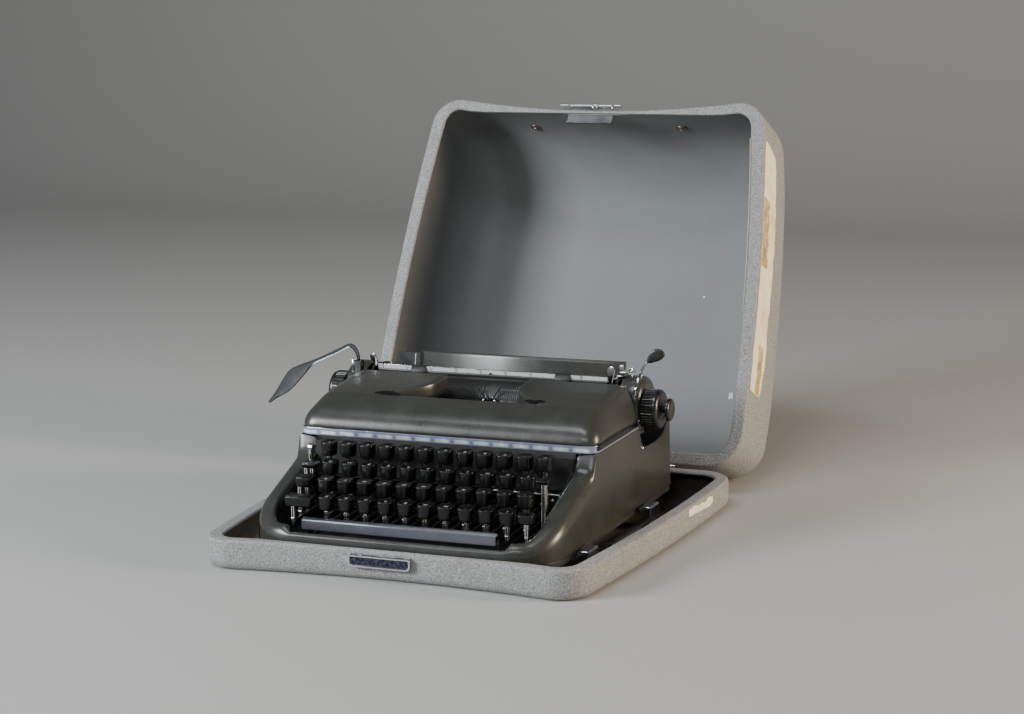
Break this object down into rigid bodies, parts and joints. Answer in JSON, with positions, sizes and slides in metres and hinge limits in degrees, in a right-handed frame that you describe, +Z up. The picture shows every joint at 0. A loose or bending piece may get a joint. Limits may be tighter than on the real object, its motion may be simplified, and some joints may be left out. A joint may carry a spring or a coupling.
{
  "type": "portable typewriter in its carrying case",
  "caption": "Portable manual typewriter with moving carriage, keys and shift, clamped in a two-part carrying case whose deep lid is hinged open behind it.",
  "frame": {"origin": "on the table surface under the middle of the case tray, on the typewriter's centre plane", "axes": "+X to the typist's right, +Y from the space bar towards the lid hinge, +Z up"},
  "size_m": [0.4387, 0.6265, 0.3679],
  "materials": {
    "case_lacquer": "grey leather-grain lacquer over fibreboard",
    "body_paint": "olive-grey hammered paint",
    "chrome": "polished plate",
    "steel": "machined steel",
    "black_steel": "black japanned steel",
    "key_plastic": "black moulded, glossy",
    "dark_plastic": "dark olive moulded",
    "rubber": "black rubber",
    "paper_tape": "aged paper",
    "ribbon_cloth": "inked cloth",
    "brass": "machined"
  },
  "bodies": {
    "machine": {"case_tray": "case_lacquer", "tray_hinge_leaves": "chrome", "hinge_pins": "steel", "latch_plate": "chrome", "hold_down_clips": "steel", "body_shell": "body_paint", "chrome_band": "chrome", "chassis": "black_steel", "rubber_feet": "rubber", "key_well": "black_steel", "key_shafts": "steel", "typebars": "steel", "type_segment": "steel", "type_guide": "steel", "ribbon": "ribbon_cloth"},
    "lid": {"case_lid": "case_lacquer", "lid_hinge_leaves": "chrome", "handle_posts": "chrome", "lid_catch": "chrome", "lid_tape": "paper_tape"},
    "handle": {"lid_handle": "dark_plastic"},
    "latch": {"latch_tongue": "chrome"},
    "clamp_right": {"clamp_screw_right": "chrome"},
    "clamp_left": {"clamp_screw_left": "chrome"},
    "cover": {"ribbon_cover": "body_paint"},
    "key_row_a": {"key_row_1": "key_plastic"},
    "key_row_b": {"key_row_2": "key_plastic"},
    "key_row_c": {"key_row_3": "key_plastic"},
    "key_row_d": {"key_row_4": "key_plastic"},
    "linked_key": {"linked_key": "key_plastic"},
    "shift_key_left": {"shift_left": "key_plastic"},
    "shift_key_right": {"shift_right": "key_plastic"},
    "shift_lock": {"shift_lock": "key_plastic"},
    "tab_key": {"tab_key": "key_plastic"},
    "margin_key": {"margin_release_key": "chrome"},
    "backspace_key": {"backspace_key": "key_plastic"},
    "space_bar": {"space_bar": "key_plastic"},
    "typebar": {"linked_typebar": "steel"},
    "vibrator": {"ribbon_vibrator": "steel"},
    "spool_left": {"spool_left": "black_steel"},
    "spool_right": {"spool_right": "black_steel"},
    "rail": {"shift_rail": "steel"},
    "carriage": {"carriage_frame": "black_steel", "paper_table": "body_paint", "left_housing": "body_paint", "right_housing": "body_paint"},
    "platen": {"platen": "rubber", "platen_core": "steel", "left_knob": "dark_plastic", "right_knob": "dark_plastic"},
    "release_button": {"release_button": "dark_plastic"},
    "return_lever": {"return_lever": "chrome"},
    "bail": {"paper_bail": "chrome"},
    "bail_rollers": {"bail_rollers": "rubber"},
    "paper_guide": {"paper_guide": "dark_plastic"},
    "feed_rollers": {"feed_rollers": "rubber"},
    "paper_release": {"paper_release_lever": "black_steel"},
    "carriage_release": {"carriage_release_lever": "black_steel"},
    "spring_drum": {"mainspring_drum": "steel"},
    "escapement": {"escapement_wheel": "brass"}
  },
  "joints": [
    {"name": "lid_hinge", "type": "hinge", "parent": "machine", "child": "lid", "pos_m": [0, 0.1909, 0.02775], "axis": [1, 0, 0], "range_deg": [0, 52]},
    {"name": "handle_swing", "type": "hinge", "parent": "lid", "child": "handle", "pos_m": [0, 0.3757, 0.35247], "axis": [1, 0, 0], "range_deg": [0, 80]},
    {"name": "latch_flip", "type": "hinge", "parent": "machine", "child": "latch", "pos_m": [0, -0.179, 0.0146], "axis": [1, 0, 0], "range_deg": [0, 70]},
    {"name": "clamp_turn_right", "type": "hinge", "parent": "machine", "child": "clamp_right", "pos_m": [0.16, -0.066, 0], "axis": [0, 0, 1], "continuous": true},
    {"name": "clamp_turn_left", "type": "hinge", "parent": "machine", "child": "clamp_left", "pos_m": [-0.16, -0.066, 0], "axis": [0, 0, 1], "continuous": true},
    {"name": "cover_lift", "type": "slide", "parent": "machine", "child": "cover", "axis": [0, 0, 1], "range_m": [0, 0.045]},
    {"name": "key_row_a_press", "type": "hinge", "parent": "machine", "child": "key_row_a", "pos_m": [0, 0.042, 0.046], "axis": [1, 0, 0], "range_deg": [0, 5], "stiffness_Nm_per_rad": 0.9, "springref_deg": -14.32},
    {"name": "key_row_b_press", "type": "hinge", "parent": "machine", "child": "key_row_b", "pos_m": [0, 0.042, 0.046], "axis": [1, 0, 0], "range_deg": [0, 4.6], "stiffness_Nm_per_rad": 0.9, "springref_deg": -14.32},
    {"name": "key_row_c_press", "type": "hinge", "parent": "machine", "child": "key_row_c", "pos_m": [0, 0.042, 0.046], "axis": [1, 0, 0], "range_deg": [0, 4.1], "stiffness_Nm_per_rad": 0.9, "springref_deg": -14.32},
    {"name": "key_row_d_press", "type": "hinge", "parent": "machine", "child": "key_row_d", "pos_m": [0, 0.042, 0.046], "axis": [1, 0, 0], "range_deg": [0, 3.7], "stiffness_Nm_per_rad": 1, "springref_deg": -14.32},
    {"name": "linked_key_press", "type": "hinge", "parent": "machine", "child": "linked_key", "pos_m": [0, 0.042, 0.046], "axis": [1, 0, 0], "range_deg": [0, 4.1], "stiffness_Nm_per_rad": 0.2, "springref_deg": -14.32},
    {"name": "tab_press", "type": "hinge", "parent": "machine", "child": "tab_key", "pos_m": [0, 0.042, 0.046], "axis": [1, 0, 0], "range_deg": [0, 4], "stiffness_Nm_per_rad": 0.12, "springref_deg": -14.32},
    {"name": "margin_release_press", "type": "hinge", "parent": "machine", "child": "margin_key", "pos_m": [0, 0.042, 0.046], "axis": [1, 0, 0], "range_deg": [0, 4], "stiffness_Nm_per_rad": 0.1, "springref_deg": -14.32},
    {"name": "backspace_press", "type": "hinge", "parent": "machine", "child": "backspace_key", "pos_m": [0, 0.042, 0.046], "axis": [1, 0, 0], "range_deg": [0, 4], "stiffness_Nm_per_rad": 0.12, "springref_deg": -14.32},
    {"name": "shift_lock_press", "type": "hinge", "parent": "machine", "child": "shift_lock", "pos_m": [0, 0.042, 0.046], "axis": [1, 0, 0], "range_deg": [0, 3], "stiffness_Nm_per_rad": 0.12, "springref_deg": -14.32},
    {"name": "space_bar_press", "type": "hinge", "parent": "machine", "child": "space_bar", "pos_m": [0, -0.04, 0.028], "axis": [1, 0, 0], "range_deg": [0, 2.8], "stiffness_Nm_per_rad": 0.6, "springref_deg": -14.32},
    {"name": "carriage_shift", "type": "slide", "parent": "machine", "child": "rail", "axis": [0, 0, 1], "range_m": [0, 0.0065]},
    {"name": "shift_left_press", "type": "hinge", "parent": "machine", "child": "shift_key_left", "pos_m": [0, 0.042, 0.046], "axis": [1, 0, 0], "range_deg": [0, 3.5]},
    {"name": "shift_right_press", "type": "hinge", "parent": "machine", "child": "shift_key_right", "pos_m": [0, 0.042, 0.046], "axis": [1, 0, 0], "range_deg": [0, 3.5]},
    {"name": "typebar_swing", "type": "hinge", "parent": "machine", "child": "typebar", "pos_m": [-0.00197, 0.02112, 0.06985], "axis": [-0.9995, -0.0316, 0.0056], "range_deg": [0, 124.8]},
    {"name": "vibrator_lift", "type": "slide", "parent": "machine", "child": "vibrator", "axis": [0, 0, 1], "range_m": [0, 0.008]},
    {"name": "spool_turn_left", "type": "hinge", "parent": "machine", "child": "spool_left", "pos_m": [-0.099, 0.008, 0.098], "axis": [0, 0, 1], "continuous": true},
    {"name": "spool_turn_right", "type": "hinge", "parent": "machine", "child": "spool_right", "pos_m": [0.099, 0.008, 0.098], "axis": [0, 0, 1], "continuous": true},
    {"name": "carriage_slide", "type": "slide", "parent": "rail", "child": "carriage", "axis": [1, 0, 0], "range_m": [-0.115, 0.115]},
    {"name": "platen_turn", "type": "hinge", "parent": "carriage", "child": "platen", "pos_m": [0, 0.079, 0.1096], "axis": [1, 0, 0], "continuous": true},
    {"name": "button_press", "type": "slide", "parent": "platen", "child": "release_button", "axis": [-1, 0, 0], "range_m": [0, 0.0025], "stiffness_N_per_m": 150, "springref_m": -0.002},
    {"name": "return_lever_swing", "type": "hinge", "parent": "carriage", "child": "return_lever", "pos_m": [-0.137, 0.058, 0], "axis": [0, 0, -1], "range_deg": [-22, 0], "stiffness_Nm_per_rad": 0.25, "springref_deg": 17.19},
    {"name": "bail_lift", "type": "hinge", "parent": "carriage", "child": "bail", "pos_m": [0, 0.098, 0.124], "axis": [-1, 0, 0], "range_deg": [0, 40]},
    {"name": "bail_roller_turn", "type": "hinge", "parent": "bail", "child": "bail_rollers", "pos_m": [0, 0.0728, 0.133], "axis": [1, 0, 0], "continuous": true},
    {"name": "paper_guide_slide", "type": "slide", "parent": "carriage", "child": "paper_guide", "axis": [1, 0, 0], "range_m": [0, 0.03]},
    {"name": "feed_roller_turn", "type": "hinge", "parent": "carriage", "child": "feed_rollers", "pos_m": [0, 0.09, 0.08957], "axis": [1, 0, 0], "continuous": true},
    {"name": "paper_release_pull", "type": "hinge", "parent": "carriage", "child": "paper_release", "pos_m": [0, 0.09, 0.121], "axis": [1, 0, 0], "range_deg": [0, 25]},
    {"name": "carriage_release_press", "type": "hinge", "parent": "carriage", "child": "carriage_release", "pos_m": [0.129, 0.086, 0], "axis": [0, 0, 1], "range_deg": [0, 12], "stiffness_Nm_per_rad": 0.03, "springref_deg": -17.19},
    {"name": "drum_turn", "type": "hinge", "parent": "machine", "child": "spring_drum", "pos_m": [-0.088, 0.13, 0], "axis": [0, 0, 1], "continuous": true},
    {"name": "escapement_turn", "type": "hinge", "parent": "machine", "child": "escapement", "pos_m": [0, 0.1313, 0], "axis": [0, 0, 1], "continuous": true}
  ],
  "couplings": [
    {"joint": "shift_left_press", "follows": "carriage_shift", "rad_per_m": 9.2},
    {"joint": "shift_right_press", "follows": "carriage_shift", "rad_per_m": 9.2},
    {"joint": "typebar_swing", "follows": "linked_key_press", "ratio": 30.4},
    {"joint": "vibrator_lift", "follows": "linked_key_press", "m_per_rad": 0.11},
    {"joint": "spool_turn_right", "follows": "spool_turn_left", "ratio": 1},
    {"joint": "feed_roller_turn", "follows": "platen_turn", "ratio": -3.5},
    {"joint": "drum_turn", "follows": "carriage_slide", "rad_per_m": 66.667},
    {"joint": "escapement_turn", "follows": "carriage_slide", "rad_per_m": 97.087}
  ]
}
